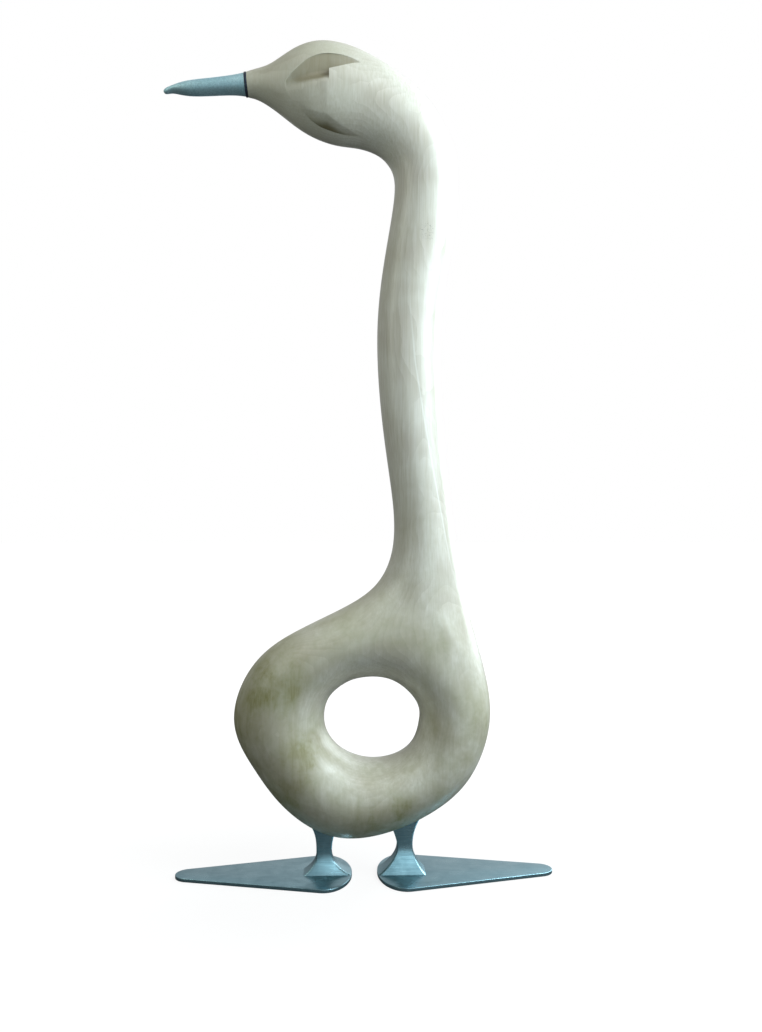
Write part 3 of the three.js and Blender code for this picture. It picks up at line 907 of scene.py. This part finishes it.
# %% Limewood: sheen and relief
relief_height = 0.07 * mm
waxed = 0.32
dry = 0.48
wax_share = 0.3
wax_roughness = 0.38
roughness_look = {"Value": wear_and_sheen, "To Min": waxed, "To Max": dry}
roughness = add_node(tree, "ShaderNodeMapRange", {}, roughness_look).outputs[0]
tree.links.new(roughness, shader.inputs["Roughness"])
shader.inputs["Coat Weight"].default_value = wax_share
shader.inputs["Coat Roughness"].default_value = wax_roughness
relief = add_node(tree, "ShaderNodeMath", {"operation": "ADD"}, {0: fibres, 1: flecks}).outputs[0]
bump_look = {"Height": relief, "Distance": relief_height, "Strength": bump_strength}
bump = add_node(tree, "ShaderNodeBump", {}, bump_look).outputs[0]
tree.links.new(bump, shader.inputs["Normal"])
print(wood_finish.name, "with a roughness from", waxed, "to", dry)

# %% [markdown]
# ## Steel
# The beak, the legs and the feet are steel that has turned slightly blue-grey. A metal has no colour of its
# own beside its reflection, so the tint goes into the base colour with metallic at 1. The legs and feet are
# ground and brushed to a satin, and their brush marks run from side to side. The beak is blasted with fine
# grit, which leaves it grainy and dull.


# %% Steel finishes
def steel(name, clean, dull, mark, sizes, sheen, relief_height):
    """Steel with marks of a length and a width, clouds of tarnish, and a least and a greatest roughness."""
    finish, tree, shader, place = new_finish(name)
    mark_length, mark_width, cloud_size = sizes
    sideways = {"Vector": place, "Scale": (mark_width / mark_length, 1, 1)}
    mark_place = add_node(tree, "ShaderNodeMapping", {}, sideways).outputs[0]
    look = {"Vector": mark_place, "Scale": per_metre(mark_width), "Detail": 3, "Roughness": 0.65}
    marks = add_node(tree, "ShaderNodeTexNoise", {}, look).outputs["Fac"]
    look = {"Scale": per_metre(cloud_size), "Detail": 4, "Roughness": 0.6, "Distortion": 0.3}
    clouds = add_node(tree, "ShaderNodeTexNoise", {}, {"Vector": place, **look}).outputs["Fac"]

    colour = clean
    for pattern, start, end, most, shade in ((clouds, 0.35, 0.68, 1, dull), (marks, 0.35, 0.72, 0.55, mark)):
        look = {"Value": pattern, "From Min": start, "From Max": end, "To Max": most}
        share = add_node(tree, "ShaderNodeMapRange", {}, look).outputs[0]
        colour = add_node(tree, "ShaderNodeMix", colour_mix, {0: share, 6: colour, 7: shade}).outputs[2]
    tree.links.new(colour, shader.inputs["Base Color"])
    shader.inputs["Metallic"].default_value = 1

    both = add_node(tree, "ShaderNodeMath", {"operation": "ADD"}, {0: marks, 1: clouds}).outputs[0]
    look = {"Value": both, "From Min": 0.7, "From Max": 1.3, "To Min": sheen[0], "To Max": sheen[1]}
    roughness = add_node(tree, "ShaderNodeMapRange", {}, look).outputs[0]
    tree.links.new(roughness, shader.inputs["Roughness"])
    bump_look = {"Height": marks, "Distance": relief_height, "Strength": bump_strength}
    bump = add_node(tree, "ShaderNodeBump", {}, bump_look).outputs[0]
    tree.links.new(bump, shader.inputs["Normal"])
    print(name, "with a roughness from", sheen[0], "to", sheen[1])
    return finish


# In millimetres: length and width of the marks, size of the clouds. Real marks are finer than a picture shows
satin_sizes = (26, 0.7, 20)
grit_sizes = (1.7, 1.5, 14)
satin_steel = steel(
    "satin_steel", paint(0xA2C6D1), paint(0x88ABB6), paint(0x658A97), satin_sizes, (0.24, 0.4), 0.03 * mm
)
blasted_steel = steel(
    "blasted_steel", paint(0xCAEAF2), paint(0xB4D8E2), paint(0x86ACB8), grit_sizes, (0.55, 0.68), 0.08 * mm
)

# %% [markdown]
# ## Dark lacquer
# The ring is a thin washer, lacquered a very dark blue, almost black. Handling has worn it a little lighter.

# %% Ring finish
wear_size = 2.5
ring_finish, tree, shader, place = new_finish("dark_lacquer")
look = {"Vector": place, "Scale": per_metre(wear_size), "Detail": 3}
wear = add_node(tree, "ShaderNodeTexNoise", {}, look).outputs["Fac"]
look = {"Value": wear, "From Min": 0.4, "From Max": 0.75}
share = add_node(tree, "ShaderNodeMapRange", {}, look).outputs[0]
lacquers = {0: share, 6: paint(0x141C2E), 7: paint(0x2E3B4D)}
colour = add_node(tree, "ShaderNodeMix", colour_mix, lacquers).outputs[2]
tree.links.new(colour, shader.inputs["Base Color"])
look = {"Value": wear, "From Min": 0.3, "From Max": 0.7, "To Min": 0.32, "To Max": 0.5}
roughness = add_node(tree, "ShaderNodeMapRange", {}, look).outputs[0]
tree.links.new(roughness, shader.inputs["Roughness"])
print(ring_finish.name, "with wear", wear_size, "mm wide")

# %% [markdown]
# ## The finished pieces
# Each mesh is smoothed, apart from the edges that are really sharp, and gets its finish. It rides on the
# goose's one body and stands for the CAD node of the same name.

# %% Hand the pieces over
# Edges that turn by more than this stay sharp, in degrees
wood_sharp = 40
steel_sharp = 30


def hand_over(mesh, name, material, sharp_angle):
    """Makes the finished mesh the piece that stands for the CAD node of the same name."""
    mesh.name = name + "_fine"
    for face in mesh.polygons:
        face.use_smooth = True
    mesh.set_sharp_from_angle(angle=math.radians(sharp_angle))
    mesh.materials.clear()
    mesh.materials.append(material)
    piece = bpy.data.objects.new(name + "_fine", mesh)
    bpy.context.scene.collection.objects.link(piece)
    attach(piece, "root")
    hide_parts(name)
    print(f"{piece.name}: {len(mesh.polygons)} faces")


hand_over(wood, "goose_carving", wood_finish, wood_sharp)
hand_over(beak_mesh, "beak", blasted_steel, steel_sharp)
hand_over(mesh_of(ring, "ring"), "beak_ring", ring_finish, steel_sharp)
for name, form in leg_forms.items():
    leg = leg_shape(form)
    round_leg(leg, form)
    hand_over(mesh_of(leg, name), name, satin_steel, steel_sharp)
for name, ends in foot_ends.items():
    hand_over(mesh_of(foot_shape(*ends), name), name, satin_steel, steel_sharp)

# %% [markdown]
# ## Floor and light
# The goose stands on white paper in front of a white background. The paper glows for the camera alone, a
# little more further off, so it runs into the background without a horizon and lights nothing from below.

# %% Floor
floor_size = 12
# Distance from the goose in metres between which the glow rises, and the glow at either end
glow_range = (0.15, 0.7, 0.88, 1)
paper_roughness = 0.9
white = paint(0xFFFFFF)
floor_shape = bmesh.new()
bmesh.ops.create_grid(floor_shape, x_segments=1, y_segments=1, size=floor_size)
floor = bpy.data.objects.new("floor", mesh_of(floor_shape, "floor"))
bpy.context.scene.collection.objects.link(floor)
floor.location.z = cad_low.z
paper, tree, shader, place = new_finish("white_paper")
shader.inputs["Base Color"].default_value = paint(0x505050)
shader.inputs["Roughness"].default_value = paper_roughness
shader.inputs["Emission Color"].default_value = white
far = add_node(tree, "ShaderNodeVectorMath", {"operation": "LENGTH"}, {0: place}).outputs["Value"]
start, end, at_start, at_end = glow_range
look = {"Value": far, "From Min": start, "From Max": end, "To Min": at_start, "To Max": at_end}
glow = add_node(tree, "ShaderNodeMapRange", {}, look).outputs[0]
seen = add_node(tree, "ShaderNodeLightPath").outputs["Is Camera Ray"]
glow = add_node(tree, "ShaderNodeMath", {"operation": "MULTIPLY"}, {0: seen, 1: glow}).outputs[0]
tree.links.new(glow, shader.inputs["Emission Strength"])
floor.data.materials.append(paper)
print("the floor lies at", round(floor.location.z, 4), "m")

# %% [markdown]
# The room is brightest behind and above the goose and dim in front of it, which gives the steel its dark
# fronts. Its light is a little blue, as daylight is.

# %% Surroundings
# An axis, the range of directions along it, and the brightness of the room at either end: behind the goose,
# above it, and the share of the brightness behind it that its left and its right side have
room_sides = (("Y", -0.1, 0.7, 0.09, 0.45), ("Z", 0.45, 0.95, 0, 0.34), ("X", -0.3, 0.3, 0.85, 1.5))
daylight = (0.96, 0.99, 1.0)
world = bpy.data.worlds.new("studio")
bpy.context.scene.world = world
world.use_nodes = True
tree = world.node_tree
background = tree.nodes["Background"]
direction = add_node(tree, "ShaderNodeTexCoord").outputs["Generated"]
axes = add_node(tree, "ShaderNodeSeparateXYZ", {}, {0: direction}).outputs
parts = []
for axis, start, end, at_start, at_end in room_sides:
    look = {"Value": axes[axis], "From Min": start, "From Max": end, "To Min": at_start, "To Max": at_end}
    parts.append(add_node(tree, "ShaderNodeMapRange", {}, look).outputs[0])
behind, above, side = parts
behind = add_node(tree, "ShaderNodeMath", {"operation": "MULTIPLY"}, {0: behind, 1: side}).outputs[0]
room = add_node(tree, "ShaderNodeMath", {"operation": "ADD"}, {0: behind, 1: above}).outputs[0]
seen = add_node(tree, "ShaderNodeLightPath").outputs["Is Camera Ray"]
strength = add_node(tree, "ShaderNodeMath", {"operation": "MAXIMUM"}, {0: room, 1: seen}).outputs[0]
tints = {0: seen, 6: (*daylight, 1), 7: white}
tint = add_node(tree, "ShaderNodeMix", colour_mix, tints).outputs[2]
tree.links.new(strength, background.inputs["Strength"])
tree.links.new(tint, background.inputs["Color"])
bpy.context.scene.view_settings.view_transform = "Standard"
print("world:", world.name)

# %% [markdown]
# Strong cool light falls in from the right, from in front of the goose and from behind it. Weaker light comes
# from above, from the left, and from low down in front, where it lights the steel.


# %% Lights
def soft_box(name, place, target, size, watts, colour):
    """A rectangular area light that points from its place to the target."""
    light = bpy.data.lights.new(name, "AREA")
    light.shape = "RECTANGLE"
    light.size, light.size_y = size
    light.energy = watts
    light.color = colour
    lamp = bpy.data.objects.new(name, light)
    lamp.location = place
    lamp.rotation_euler = (Vector(target) - Vector(place)).to_track_quat("-Z", "Y").to_euler()
    bpy.context.scene.collection.objects.link(lamp)
    print(name, "with", watts, "W")


cool_light = (0.83, 0.95, 1.0)
warm_light = (1.0, 0.98, 0.93)
lamp_light = (0.94, 1.0, 0.87)
sky_blue = (0.78, 0.95, 1.0)
soft_box("right_window", (0.88, -0.4, 1.0), (0, 0, 0.65), (0.75, 0.9), 19.2, cool_light)
soft_box("sky_window", (0.1, -0.8, 1.6), (0, 0, 0.7), (0.7, 0.5), 1.9, warm_light)
soft_box("right_rim", (0.9, 0.75, 0.8), (0, 0, 0.45), (0.6, 1.0), 12, cool_light)
soft_box("left_fill", (-0.8, -0.4, 0.9), (0, 0, 0.5), (0.4, 0.9), 2.35, lamp_light)
soft_box("front_window", (0.25, -1.1, 0.42), (0, 0, 0.1), (0.9, 0.5), 2.4, sky_blue)
